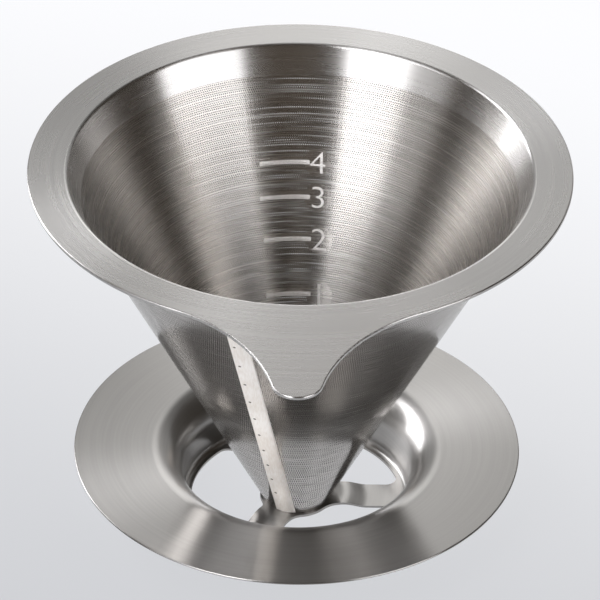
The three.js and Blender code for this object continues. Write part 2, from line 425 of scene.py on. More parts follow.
def make_cup():
    wall_turn = 90 - CONE_TURN_DEG
    inset = CUP_INSET + CUP_SHEET
    floor = cup_low.z + CUP_SHEET
    top = cup_high.z - CUP_SHEET / 2
    hollow_r = cone_radius(floor, inset) - CUP_BEND * math.tan(math.radians(wall_turn / 2))
    middle = (hollow_r, floor + CUP_BEND)
    wall_normal = (math.cos(CONE_TURN), -math.sin(CONE_TURN))
    under = [
        (0, cup_low.z, 0, -1),
        (hollow_r, cup_low.z, 0, -1),
        *bend(middle, CUP_BEND + CUP_SHEET, -90, -CONE_TURN_DEG, CUP_BEND_STEPS),
        (cone_radius(top, CUP_INSET), top, *wall_normal),
    ]
    rim_middle = (cone_radius(top, CUP_INSET + CUP_SHEET / 2), top)
    rim = bend(rim_middle, CUP_SHEET / 2, -CONE_TURN_DEG, 180 - CONE_TURN_DEG, EDGE_STEPS)[1:-1]
    wall_heights = np.linspace(top, floor + CUP_BEND, CUP_WALL_POINTS)
    face = (
        flat([(cone_radius(z, inset), z) for z in wall_heights], [-n for n in wall_normal])
        + bend(middle, CUP_BEND, -CONE_TURN_DEG, -90, CUP_BEND_STEPS, hollow=True)
        + flat([(r, floor) for r in np.linspace(hollow_r, 0, CUP_FLOOR_POINTS)[1:]], (0, 1))
    )
    return turned_solid("tip_cup", np.array(under + rim + face), AROUND_CUP)


tip_cup = make_cup()

# %% [markdown]
# ## Saucer
# The saucer is a deep-drawn plate: a flat rim, a wide shoulder, a straight throat and a floor that
# is cut away to three arms. Cutting the openings out with a Boolean would leave long thin faces that
# spoil the shine. Instead the plate is swept like the collar, and the floor is a net of points that
# is trimmed to the openings. A low wave pressed into the arms then only lifts the net's points.

# %% Saucer's plate
SAUCER_SHEET = 0.6 * MM
THROAT_R = 28.6 * MM
SHOULDER_R = 8 * MM
FOOT_BEND = 1.5 * MM
AROUND_SAUCER = 360
SHOULDER_STEPS = 24
FOOT_STEPS = 6
PLATE_POINTS = 6
FLOOR_R = THROAT_R - FOOT_BEND
shoulder_centre = (THROAT_R + SHOULDER_R, SAUCER_TOP - SHOULDER_R)
foot_centre = (FLOOR_R, SAUCER_SHEET + FOOT_BEND)
edge_centre = (SAUCER_R - SAUCER_SHEET / 2, SAUCER_TOP - SAUCER_SHEET / 2)
plate_r = np.linspace(edge_centre[0], shoulder_centre[0], PLATE_POINTS)[:-1]
saucer_face = (
    flat([(r, SAUCER_TOP) for r in plate_r], (0, 1))
    + bend(shoulder_centre, SHOULDER_R, 90, 180, SHOULDER_STEPS)
    + bend(foot_centre, FOOT_BEND, 0, -90, FOOT_STEPS, hollow=True)
)
saucer_under = (
    bend(foot_centre, FOOT_BEND + SAUCER_SHEET, -90, 0, FOOT_STEPS)
    + bend(shoulder_centre, SHOULDER_R - SAUCER_SHEET, 180, 90, SHOULDER_STEPS, hollow=True)
    + flat([(r, SAUCER_TOP - SAUCER_SHEET) for r in plate_r[::-1]], (0, -1))
)
saucer_edge = bend(edge_centre, SAUCER_SHEET / 2, -90, 90, EDGE_STEPS)[1:-1]
print(f"{len(saucer_face) + len(saucer_under) + len(saucer_edge)} points in the plate's section")

# %% [markdown]
# Each drip opening is bounded by an arc near the throat, two round corners, the straight sides of
# two arms and the round hub. Points of an even net are kept only where there is steel.

# %% Saucer's floor
ARM_COUNT = 3
ARM_HALF_WIDTH = 4.45 * MM
ARM_ROOT_R = 4 * MM
HUB_R = 9 * MM
FLOOR_OPENING_R = 26.5 * MM
FLOOR_CORNER_R = 2.8 * MM
ARM_WAVE_FROM = 7.0 * MM
ARM_WAVE_TO = 18.5 * MM
ARM_WAVE_LIFT = 0.9 * MM
NET_PITCH = 0.6 * MM
OUTLINE_PITCH = 0.8 * NET_PITCH
AS_ZERO = 1e-9


def arc_points(centre, radius, start, end):
    """Points along an arc, about one outline pitch apart, without its last one."""
    count = max(3, round(abs(end - start) * radius / OUTLINE_PITCH))
    turns = np.linspace(start, end, count, endpoint=False)
    return np.stack([centre[0] + radius * np.cos(turns), centre[1] + radius * np.sin(turns)], 1)


def opening_outline(middle):
    """One drip opening between two arms, bounded by arcs and by the arms' straight edges."""
    corner_at = FLOOR_OPENING_R - FLOOR_CORNER_R
    corner_turn = math.asin((ARM_HALF_WIDTH + FLOOR_CORNER_R) / corner_at)
    root_at = HUB_R + ARM_ROOT_R
    root_turn = math.asin((ARM_HALF_WIDTH + ARM_ROOT_R) / root_at)
    start, end = middle - math.pi / ARM_COUNT, middle + math.pi / ARM_COUNT

    def polar(radius, turn):
        return np.array([radius * math.cos(turn), radius * math.sin(turn)])

    def straight(a, b):
        count = max(2, round(np.linalg.norm(b - a) / OUTLINE_PITCH))
        return a + (b - a) * np.linspace(0, 1, count, endpoint=False)[:, None]

    corner_b, root_b = polar(corner_at, end - corner_turn), polar(root_at, end - root_turn)
    corner_a, root_a = polar(corner_at, start + corner_turn), polar(root_at, start + root_turn)
    across_b, across_a = polar(1, end + math.pi / 2), polar(1, start - math.pi / 2)
    return np.vstack([
        arc_points((0, 0), FLOOR_OPENING_R, start + corner_turn, end - corner_turn),
        arc_points(corner_b, FLOOR_CORNER_R, end - corner_turn, end + math.pi / 2),
        straight(corner_b + FLOOR_CORNER_R * across_b, root_b + ARM_ROOT_R * across_b),
        arc_points(root_b, ARM_ROOT_R, end + math.pi / 2, end - root_turn + math.pi),
        arc_points((0, 0), HUB_R, end - root_turn, start + root_turn),
        arc_points(root_a, ARM_ROOT_R, start + root_turn + math.pi, start + 1.5 * math.pi),
        straight(root_a + ARM_ROOT_R * across_a, corner_a + FLOOR_CORNER_R * across_a),
        arc_points(corner_a, FLOOR_CORNER_R, start - math.pi / 2, start + corner_turn),
    ])


def inside(points, loop):
    """Which points lie inside a closed loop, by counting the edges to their right."""
    hit = np.zeros(len(points), bool)
    for (ax, ay), (bx, by) in zip(loop, np.roll(loop, -1, axis=0)):
        if ay == by:
            continue
        crosses = (points[:, 1] < ay) != (points[:, 1] < by)
        reach = ax + (points[:, 1] - ay) * (bx - ax) / (by - ay)
        hit ^= crosses & (points[:, 0] < reach)
    return hit


def near(points, loop, gap):
    """Which points lie closer than gap to a point of the loop."""
    spread = np.linalg.norm(points[:, None, :] - loop[None, :, :], axis=2)
    return spread.min(axis=1) < gap


def wave(points):
    """Height of the arms' wave, and its slope along the radius."""
    r = np.linalg.norm(points, axis=1)
    t = np.clip((r - ARM_WAVE_FROM) / (ARM_WAVE_TO - ARM_WAVE_FROM), 0, 1)
    lift = ARM_WAVE_LIFT / 2 * (1 - np.cos(2 * math.pi * t))
    slope = ARM_WAVE_LIFT * math.pi / (ARM_WAVE_TO - ARM_WAVE_FROM) * np.sin(2 * math.pi * t)
    return lift, slope, r


openings = [opening_outline((2 * i + 1) * math.pi / ARM_COUNT) for i in range(ARM_COUNT)]
floor_turns = even_turns(AROUND_SAUCER)
rim_loop = FLOOR_R * np.stack([np.cos(floor_turns), np.sin(floor_turns)], 1)
span = np.arange(-FLOOR_R, FLOOR_R, NET_PITCH)
net = np.stack(np.meshgrid(span, span), 2)
net[1::2, :, 0] += NET_PITCH / 2
net = net.reshape(-1, 2)
net = net[np.linalg.norm(net, axis=1) < FLOOR_R - NET_PITCH / 2]
for loop in openings:
    net = net[~inside(net, loop)]
    net = net[~near(net, loop, NET_PITCH / 2)]
print(f"{len(net)} points inside the floor, {len(openings[0])} round each opening")

# %% [markdown]
# The net and the outlines are joined into even triangles, once for the upper face and once for the
# lower one. The openings' walls have normals of their own, so that their edges stay crisp.

# %% Saucer's body
def floor_net():
    """The trimmed floor as flat triangles; its first points are the rim's, then the openings'."""
    loops = [rim_loop, *openings]
    edges, start = [], 0
    for loop in loops:
        count = len(loop)
        edges += [(start + i, start + (i + 1) % count) for i in range(count)]
        start += count
    points = np.vstack([*loops, net])
    found, _, faces, *_ = delaunay_2d_cdt([Vector(p) for p in points], edges, [], 1, AS_ZERO)
    assert len(found) == len(points), "the floor's outlines cross each other"
    middles = np.array([np.mean([points[i] for i in face], axis=0) for face in faces])
    keep = np.ones(len(faces), bool)
    for loop in openings:
        keep &= ~inside(middles, loop)
    return points, [face for face, kept in zip(faces, keep) if kept]


def opening_walls(top, under):
    """The openings' walls, and a normal for each corner; top and under number the points."""
    faces, normals, start = [], [], len(rim_loop)
    for loop in openings:
        count = len(loop)
        back = np.roll(loop, 1, axis=0) - np.roll(loop, -1, axis=0)
        wall = np.column_stack([back[:, 1], -back[:, 0], np.zeros(count)])
        wall /= np.linalg.norm(wall, axis=1)[:, None]
        for i in range(count):
            ahead = (i + 1) % count
            near_end, far_end = start + i, start + ahead
            faces.append((top(near_end), top(far_end), under(far_end), under(near_end)))
            normals += [wall[i], wall[ahead], wall[ahead], wall[i]]
        start += count
    return faces, normals


def make_saucer():
    """The swept plate, its floor on both faces, and the walls of the openings, as one solid."""
    loop = np.array(saucer_edge + saucer_face + saucer_under)
    steps = len(loop)
    places, normals = sweep(loop, floor_turns)
    inner_under = len(saucer_edge) + len(saucer_face)
    inner_top = inner_under - 1
    faces = [quad for quad in grid_faces(AROUND_SAUCER, steps) if quad[0] % steps != inner_top]

    points, triangles = floor_net()
    lift, slope, r = wave(points)
    tilt = -slope[:, None] * points / np.maximum(r, AS_ZERO)[:, None]
    facing = np.column_stack([tilt, np.ones(len(points))])
    facing /= np.linalg.norm(facing, axis=1)[:, None]
    rim_count = len(rim_loop)
    extra_top = AROUND_SAUCER * steps
    extra_under = extra_top + len(points) - rim_count

    def top(i):
        return i * steps + inner_top if i < rim_count else extra_top + i - rim_count

    def under(i):
        return i * steps + inner_under if i < rim_count else extra_under + i - rim_count

    for a, b, c in triangles:
        turn = np.cross(points[b] - points[a], points[c] - points[a])
        a, b, c = (a, b, c) if turn > 0 else (a, c, b)
        faces += [(top(a), top(b), top(c)), (under(a), under(c), under(b))]
    inner = points[rim_count:]
    lift, facing = lift[rim_count:], facing[rim_count:]
    top_places = np.column_stack([inner, SAUCER_SHEET + lift])
    places = np.vstack([places.reshape(-1, 3), top_places, top_places - SAUCER_SHEET * facing])
    normals = np.vstack([normals.reshape(-1, 3), facing, -facing])
    walls, wall_normals = opening_walls(top, under)
    return solid_mesh("saucer", places, faces + walls, normals, wall_normals)


saucer = make_saucer()

# %% [markdown]
# ## Mesh cones
# Each mesh is a plain rolled cone, so a short tree of geometry nodes makes it: one cone for the
# inner face, the same cone pushed out by the sheet for the outer face, and both joined at the rims.
# The holes themselves stay in the material, where a mask cuts real see-through openings. That keeps
# thousands of tiny holes cheap, and they still let light and sight through both layers.

# %% Cones by geometry nodes
MESH_TOP = mesh_high.z
MESH_BOTTOM = mesh_low.z
OUTER_SHEET = 0.3 * MM
INNER_SHEET = 0.25 * MM
NEST_GAP = 0.08 * MM
AROUND_CONE = 288
CONE_RINGS = 24
MERGE_GAP = 0.005 * MM
SHARP_FROM = math.radians(40)


def cone_tree(material):
    """Geometry nodes for a hollow cone; its sizes are inputs."""
    tree = bpy.data.node_groups.new("sheet_cone", "GeometryNodeTree")
    tree.interface.new_socket("Geometry", in_out="OUTPUT", socket_type="NodeSocketGeometry")
    for name in ("Top radius", "Bottom radius", "Bottom height", "Depth", "Sheet"):
        tree.interface.new_socket(name, in_out="INPUT", socket_type="NodeSocketFloat")
    given = tree.nodes.new("NodeGroupInput").outputs
    cone = add_node(tree, "GeometryNodeMeshCone", {"fill_type": "NONE"}, {
        "Vertices": AROUND_CONE, "Side Segments": CONE_RINGS, "Radius Top": given["Top radius"],
        "Radius Bottom": given["Bottom radius"], "Depth": given["Depth"]})
    lift = add_node(tree, "ShaderNodeCombineXYZ", {}, {"Z": given["Bottom height"]})
    placed = add_node(tree, "GeometryNodeTransform", {}, {
        "Geometry": cone.outputs["Mesh"], "Translation": lift.outputs[0]})
    pushed = add_node(tree, "GeometryNodeExtrudeMesh", {"mode": "FACES"}, {
        "Mesh": placed.outputs[0], "Offset Scale": given["Sheet"], "Individual": False})
    inner = add_node(tree, "GeometryNodeFlipFaces", {}, {"Mesh": placed.outputs[0]})
    both = tree.nodes.new("GeometryNodeJoinGeometry")
    tree.links.new(pushed.outputs["Mesh"], both.inputs[0])
    tree.links.new(inner.outputs[0], both.inputs[0])
    closed = add_node(tree, "GeometryNodeMergeByDistance", {}, {
        "Geometry": both.outputs[0], "Distance": MERGE_GAP})
    angle = tree.nodes.new("GeometryNodeInputMeshEdgeAngle").outputs["Unsigned Angle"]
    soft = add_node(tree, "FunctionNodeCompare", {"operation": "LESS_THAN"}, {
        0: angle, 1: SHARP_FROM})
    smooth = add_node(tree, "GeometryNodeSetShadeSmooth", {"domain": "EDGE"}, {
        0: closed.outputs[0], "Shade Smooth": soft.outputs[0]})
    single = add_node(tree, "GeometryNodeRealizeInstances", {}, {0: smooth.outputs[0]})
    painted = add_node(tree, "GeometryNodeSetMaterial", {}, {
        "Geometry": single.outputs[0], "Material": material})
    tree.links.new(painted.outputs[0], tree.nodes.new("NodeGroupOutput").inputs[0])
    return tree


def grown(name, tree, values):
    """A plain mesh object from a geometry tree and the values of its inputs."""
    thing = add_object(name, bpy.data.meshes.new(name))
    maker = thing.modifiers.new("maker", "NODES")
    maker.node_group = tree
    for item in tree.interface.items_tree:
        if item.item_type == "SOCKET" and item.in_out == "INPUT" and item.name in values:
            maker[item.identifier] = values[item.name]
    bpy.context.view_layer.update()
    made = thing.evaluated_get(bpy.context.evaluated_depsgraph_get())
    mesh = bpy.data.meshes.new_from_object(made)
    mesh.name = name
    thing.modifiers.clear()
    thing.data = mesh
    print(f"{name}: {len(mesh.polygons)} faces")
    return thing


def cone_sizes(inset, sheet):
    """Inputs for a cone sheet whose outer face lies inset from the outer mesh's."""
    return {
        "Top radius": cone_radius(MESH_TOP, inset + sheet),
        "Bottom radius": cone_radius(MESH_BOTTOM, inset + sheet),
        "Bottom height": MESH_BOTTOM,
        "Depth": MESH_TOP - MESH_BOTTOM,
        "Sheet": sheet,
    }

# %% [markdown]
# ## Turned steel
# Turned sheet shines in long radial fans, because its fine grooves run round the axis. Three things
# make that look. The shader's anisotropy is turned by a quarter, so that each highlight stretches
# across the grooves. A second, wider highlight is mixed in for the light that worn grooves scatter.
# And a noise that is long round the axis and very fine along the radius gives the grooves: it is
# read from a point on a small circle, so that it closes without a seam.

# %% Grain and steel
STRETCH = 0.9
QUARTER_TURN = 0.25
AXIS_GUARD = 1e-5  # metres; keeps a direction round the axis defined on the axis itself


def new_material(name, base, roughness):
    """A plain metal; returns the material, its tree and its shader."""
    material = bpy.data.materials.new(name)
    material.use_nodes = True
    tree = material.node_tree
    shader = tree.nodes["Principled BSDF"]
    shader.inputs["Metallic"].default_value = 1.0
    shader.inputs["Base Color"].default_value = (*base, 1)
    shader.inputs["Roughness"].default_value = roughness
    return material, tree, shader


def object_place(tree):
    """The object's own coordinates as three wires, in metres."""
    node = add_node(tree, "ShaderNodeTexCoord")
    split = add_node(tree, "ShaderNodeSeparateXYZ", {}, {0: node.outputs["Object"]})
    return [Wire(tree, output) for output in split.outputs]


def noise(tree, vector, w=None, scale=1.0, detail=2.0, roughness=0.5):
    """A noise between 0 and 1 read at a vector made of three wires, and a fourth one if given."""
    joined = add_node(tree, "ShaderNodeCombineXYZ", {}, dict(enumerate(vector)))
    values = {"Vector": joined.outputs[0], "Scale": scale, "Detail": detail, "Roughness": roughness}
    if w is not None:
        values["W"] = w
    kind = {"noise_dimensions": "3D" if w is None else "4D"}
    return Wire(tree, add_node(tree, "ShaderNodeTexNoise", kind, values).outputs[0])


def round_grain(tree, fine, length_steps, detail=2.0):
    """Noise that is fine across the turning and long round it: fine in lines per metre."""
    x, y, z = object_place(tree)
    r = length(x, y)
    around = r.highest(AXIS_GUARD)
    place = x / around * length_steps, y / around * length_steps, r * fine
    return noise(tree, place, w=z * fine, detail=detail)


def mixed(tree, factor, a, b):
    """A colour between two colours, each a triple or another colour's socket."""
    a, b = ((*colour, 1) if isinstance(colour, tuple) else colour for colour in (a, b))
    node = add_node(tree, "ShaderNodeMix", {"data_type": "RGBA"}, {"Factor": factor, 6: a, 7: b})
    return node.outputs[2]


def bump(tree, height, distance):
    """The normal of a relief that rises by distance where the height goes from 0 to 1."""
    values = {"Height": height, "Distance": distance, "Strength": 1.0}
    return add_node(tree, "ShaderNodeBump", {}, values).outputs["Normal"]


DARKER = 0.92
LIGHTER = 1.06
SCATTER_ROUGH = 0.42


def shades(base):
    """The darker and the lighter tint that grooves give a metal."""
    return tuple(DARKER * c for c in base), tuple(min(1.0, LIGHTER * c) for c in base)


def scatter(tree, shader, share):
    """Add a second highlight that runs much further across the grooves than the first."""
    wide = tree.nodes.new("ShaderNodeBsdfPrincipled")
    for name in ("Base Color", "Alpha", "Normal"):
        own = shader.inputs[name]
        if own.is_linked:
            tree.links.new(own.links[0].from_socket, wide.inputs[name])
        elif name != "Normal":
            wide.inputs[name].default_value = own.default_value
    wide.inputs["Metallic"].default_value = shader.inputs["Metallic"].default_value
    wide.inputs["Roughness"].default_value = SCATTER_ROUGH
    wide.inputs["Anisotropic"].default_value = 1.0
    wide.inputs["Anisotropic Rotation"].default_value = QUARTER_TURN
    both = add_node(tree, "ShaderNodeMixShader", {}, {
        0: share, 1: shader.outputs[0], 2: wide.outputs[0]})
    tree.links.new(both.outputs[0], tree.nodes["Material Output"].inputs["Surface"])

# %% [markdown]
# One function gives all three turned pieces their steel. Fine and broad grooves share one relief,
# and faint stains change the roughness a little, as on a piece that has been handled.

# %% Turned steel
FINE_GROOVES = 1600.0  # for each metre
BROAD_GROOVES = FINE_GROOVES / 7
GROOVE_RELIEF = 0.002 * MM
STAIN_SCALE = 38.0
STAIN_ROUGH = 0.05


def turned_steel(name, base, roughness, spread, share, stretch=STRETCH):
    """Turned stainless sheet: fine grooves, soft stains and worn streaks."""
    material, tree, shader = new_material(name, base, roughness)
    fine_lines = round_grain(tree, FINE_GROOVES, 1.4, detail=3.0)
    broad_lines = round_grain(tree, BROAD_GROOVES, 0.6, detail=2.0)
    stain = noise(tree, object_place(tree), scale=STAIN_SCALE, detail=3.0)
    middle = roughness - spread - STAIN_ROUGH / 2
    rough = broad_lines * spread + fine_lines * spread + stain * STAIN_ROUGH + middle
    feed(tree, shader.inputs["Roughness"], rough)
    shade = (fine_lines * 0.6 + broad_lines * 0.2 + stain * 0.2).step(0.25, 0.75)
    feed(tree, shader.inputs["Base Color"], mixed(tree, shade, *shades(base)))
    height = fine_lines * 0.6 + broad_lines * 0.4
    feed(tree, shader.inputs["Normal"], bump(tree, height, GROOVE_RELIEF))
    shader.inputs["Anisotropic"].default_value = stretch
    shader.inputs["Anisotropic Rotation"].default_value = QUARTER_TURN
    scatter(tree, shader, share)
    return material


STEEL_TINT = (0.53, 0.52, 0.505)
SAUCER_TINT = (0.40, 0.39, 0.375)
collar_steel = turned_steel("collar_steel", STEEL_TINT, 0.27, 0.05, 0.15)
saucer_steel = turned_steel("saucer_steel", SAUCER_TINT, 0.2, 0.05, 0.4, stretch=0.8)
cup_steel = turned_steel("cup_steel", STEEL_TINT, 0.34, 0.10, 0.2)
collar.data.materials.append(collar_steel)
saucer.data.materials.append(saucer_steel)
tip_cup.data.materials.append(cup_steel)

# %% [markdown]
# The stretched highlight needs to know which way the grooves run. The shader measures that round
# the middle of each mesh's texture box, so the box has to sit on the axis. The tab pulls the
# collar's box to one side, and setting the box by hand brings it back.

# %% Texture boxes on the axis
def centre_texture_box(thing):
    """Put the middle of a piece's texture box on the axis."""
    mesh = thing.data
    heights = [corner[2] for corner in thing.bound_box]
    mesh.use_auto_texspace = False
    mesh.texspace_location = (0, 0, (min(heights) + max(heights)) / 2)
    mesh.texspace_size = (TAB_REACH, TAB_REACH, max(heights) - min(heights))


for thing in (collar, saucer, tip_cup):
    centre_texture_box(thing)

# %% [markdown]
# ## Perforations
# Both meshes are etched sheets, with far more holes than a mesh could carry as faces, so a mask
# makes them. A hole's place is written in two numbers: the distance from the cone's apex along the
# slant, and the direction round the axis. Rows are counted along the slant. Round the axis the count
# of holes stays the same inside a band and grows from band to band, as the cone widens. Between two
# bands of the inner mesh there is a thin land without holes.

# %% Cone coordinates
CONE_SPREAD = 2 * math.pi * math.sin(CONE_TURN)  # once round the cone, for each unit of slant


def cone_place(tree):
    """Distance from the apex along the slant in millimetres, turns round the axis, and x and y."""
    x, y, z = object_place(tree)
    r = length(x, y)
    slant = (r * math.sin(CONE_TURN) + (z - CONE_APEX) * math.cos(CONE_TURN)) / MM
    turns = y.math("ARCTAN2", x) / (2 * math.pi) + 1.0
    return slant, turns, x / MM, y


FINE_PITCH = 0.54  # millimetres between holes in a row
FINE_ROW = 0.5373
FINE_HOLE_R = 0.13
LAND = 0.12  # height of the land between two bands
BAND = 6 * FINE_ROW + LAND  # height of one band along the slant, in millimetres
SLOT_PITCH = 0.54
SLOT_ROW = 1.2
SLOT_BAND = 4 * SLOT_ROW
SLOT_HALF = 0.475
SLOT_WIDE = 0.09


def fine_holes(slant, turns):
    """Millimetres outside the nearest round hole of the inner mesh; negative inside it."""
    band = (slant / BAND).floor()
    along = slant - band * BAND
    count = ((band + 0.5) * (BAND * CONE_SPREAD / FINE_PITCH)).math("ROUND")
    row = (along - LAND) / FINE_ROW
    shift = (row.floor() * 0.5).fraction()
    cell = (turns * count + shift).fraction() - 0.5
    across = cell * (slant * CONE_SPREAD) / count
    up = (row.fraction() - 0.5) * FINE_ROW
    return length(across, up) - FINE_HOLE_R + row.math("LESS_THAN", 0.0)


def slots(slant, turns):
    """Millimetres outside the nearest upright slot of the outer mesh; negative inside it."""
    band = (slant / SLOT_BAND).floor()
    count = ((band + 0.5) * (SLOT_BAND * CONE_SPREAD / SLOT_PITCH)).math("ROUND")
    row = slant / SLOT_ROW
    shift = (row.floor() * 0.5).fraction()
    cell = (turns * count + shift).fraction() - 0.5
    across = (cell * (slant * CONE_SPREAD) / count).magnitude()
    up = ((row.fraction() - 0.5) * SLOT_ROW).magnitude()
    over = (up - (SLOT_HALF - SLOT_WIDE)).highest(0.0)
    return length(across, over) - SLOT_WIDE

# %% [markdown]
# ## Scale
# Four bars with the numbers one to four are etched inside the cone, opposite the handle. The fine
# mesh is left blank around them, so that they can be read.

# %% Sizes of the scale
BAR_HEIGHTS = [RIM_TOP - drop * MM for drop in (56.9, 44.36, 34.8, 26.9)]  # from one to four
BAR_LEFT = [-8.2, -8.95, -10.1, -10.3]  # millimetres
BAR_RIGHT = [3.0, 2.9, 2.5, 2.3]
BAR_THICK = 1.1  # along the slant
DARK_STRIP = 0.9  # left blank above each bar
DIGIT_MIDDLE = [5.1, 4.9, 4.5, 4.3]
DIGIT_TALL = 5.4
DIGIT_SPREAD = 1.12  # the numbers are a little wider than the typeface
PATCH_R = 3.3  # left blank round each number
PATCH_SQUEEZE = 0.92
BLANK_SOFT = 0.05
FACE_INSET = OUTER_SHEET + NEST_GAP + INNER_SHEET  # of the inner mesh's inner face


def slant_at(z):
    """Distance from the apex along the inner mesh's inner face, in millimetres."""
    r = cone_radius(z, FACE_INSET)
    return (r * math.sin(CONE_TURN) + (z - CONE_APEX) * math.cos(CONE_TURN)) / MM


bar_slants = [slant_at(z) for z in BAR_HEIGHTS]
print("bars at", [round(s, 1) for s in bar_slants], "mm along the slant")


def within(distance, limit):
    """1 where a distance is under a limit and 0 beyond it, with a soft edge."""
    return distance.step(limit + BLANK_SOFT, limit - BLANK_SOFT)


def scale_blank(slant, x, y):
    """1 where the fine mesh is left without holes around the bars and the numbers."""
    blank = None
    for s, left, right, middle in zip(bar_slants, BAR_LEFT, BAR_RIGHT, DIGIT_MIDDLE):
        half = (right - left) / 2
        across = within((x - (left + half)).magnitude(), half)
        up = (slant - (s + DARK_STRIP / 2)).magnitude()
        strip = across * within(up, (BAR_THICK + DARK_STRIP) / 2)
        patch = within(length(x - middle, (slant - s) * PATCH_SQUEEZE), PATCH_R)
        both = strip.highest(patch)
        blank = both if blank is None else blank.highest(both)
    return blank * y.math("GREATER_THAN", 0.0)

# %% [markdown]
# ## Etched sheet
# An etched hole has a real opening, and in the real sheet its walls throw shade that a sheet of no
# thickness lacks. One distance gives both: the mask opens where it falls below nothing, and a ring
# just outside roughens the steel and darkens it as painted shade. The openings go to Alpha, so light
# and sight pass through.

# %% Mesh materials
MESH_TINT = (0.56, 0.535, 0.505)
SLOTTED_TINT = (0.68, 0.655, 0.625)
HOLE_BLUR = 0.02  # millimetres
HOLE_RIM_WIDE = 0.08  # millimetres from a hole to the end of its ring of painted shade
# darkness of the ring round each hole: painted shade of the hole's walls
HOLE_SHADE_DARK = 0.2
HOLE_RIM_ROUGH = 0.2
MESH_GROOVES = 1800.0  # for each metre
MESH_RELIEF = 0.001 * MM
GRAIN_ROUGH = 0.08
SLOT_START = 2  # millimetres above the outer mesh's foot
SLOT_START_SOFT = 0.1


def mesh_steel(name, base, roughness, holes, share, stretch=STRETCH):
    """Etched sheet: turned grain, painted shade round the holes, and the holes as real openings."""
    material, tree, shader = new_material(name, base, roughness)
    slant, turns, x, y = cone_place(tree)
    gap = holes(slant, turns, x, y)
    open_mask = gap.step(HOLE_BLUR, -HOLE_BLUR)
    # the ring just outside each hole: rougher, and darker as painted shade
    slope = gap.step(HOLE_RIM_WIDE, HOLE_RIM_WIDE / 3)
    grain = round_grain(tree, MESH_GROOVES, 1.6, detail=3.0)
    rough = grain * GRAIN_ROUGH + slope * HOLE_RIM_ROUGH + (roughness - GRAIN_ROUGH / 2)
    feed(tree, shader.inputs["Roughness"], rough)
    steel = mixed(tree, grain.step(0.3, 0.7), *shades(base))
    hole_shade_tint = tuple(HOLE_SHADE_DARK * channel for channel in base)
    feed(tree, shader.inputs["Base Color"], mixed(tree, slope, steel, hole_shade_tint))
    feed(tree, shader.inputs["Normal"], bump(tree, grain, MESH_RELIEF))
    feed(tree, shader.inputs["Alpha"], 1 - open_mask)
    shader.inputs["Anisotropic"].default_value = stretch
    shader.inputs["Anisotropic Rotation"].default_value = QUARTER_TURN
    scatter(tree, shader, share)
    return material


def inner_openings(slant, turns, x, y):
    return fine_holes(slant, turns) + scale_blank(slant, x, y)


def outer_openings(slant, turns, x, y):
    low = (MESH_BOTTOM - CONE_APEX) / math.cos(CONE_TURN) / MM + SLOT_START
    return slots(slant, turns) + slant.step(low + SLOT_START_SOFT, low)


fine_mesh = mesh_steel("fine_mesh", MESH_TINT, 0.27, inner_openings, 0.08)
slotted_mesh = mesh_steel("slotted_mesh", SLOTTED_TINT, 0.11, outer_openings, 0.08, stretch=0.6)
outer_cone = grown("outer_mesh", cone_tree(slotted_mesh), cone_sizes(0.0, OUTER_SHEET))
inner_sizes = cone_sizes(OUTER_SHEET + NEST_GAP, INNER_SHEET)
inner_cone = grown("inner_mesh", cone_tree(fine_mesh), inner_sizes)
for thing in (outer_cone, inner_cone):
    centre_texture_box(thing)

# %% [markdown]
# ## Pieces on the cone
# The lap seam, its weld spots, the bars and the numbers are all flat shapes laid on the cone. A
# cone unrolls into a flat fan, so each of them is drawn flat first, and one function wraps it on.

# %% Wrapping a flat shape on the cone
def wrap_on_cone(along, across, lift, middle_turn, inset, facing=1):
    """Place of a flat point: along from the apex, across, and lifted off the face."""
    distance = math.hypot(along, across)
    turn = middle_turn + math.atan2(across, along) / math.sin(CONE_TURN)
    off = facing * lift - inset
    r = distance * math.sin(CONE_TURN) + off * math.cos(CONE_TURN)
    z = CONE_APEX + distance * math.cos(CONE_TURN) - off * math.sin(CONE_TURN)
    return Vector((r * math.cos(turn), r * math.sin(turn), z))

# %% [markdown]
# ## Seam lap
# The outer sheet is rolled round until its ends overlap, and one end lies on the other as a plain
# strip. Its section is a low bar with rounded shoulders, carried up the cone's slant step by step.
# The strip's foot is sunk a little into the sheet, so that no gap shows under it.

# %% Seam lap's body
SEAM_TURN = math.radians(-107)
SEAM_HALF = 2.5 * MM
SEAM_RISE = 0.2 * MM
SEAM_ROUND = 0.12 * MM
SEAM_BURY = 0.08 * MM
SEAM_STEPS = 64
SEAM_CORNER_POINTS = 5
SEAM_TOP_POINTS = 8
SEAM_MARGIN = 0.6 * MM
SEAM_SHARP_FROM = math.radians(50)


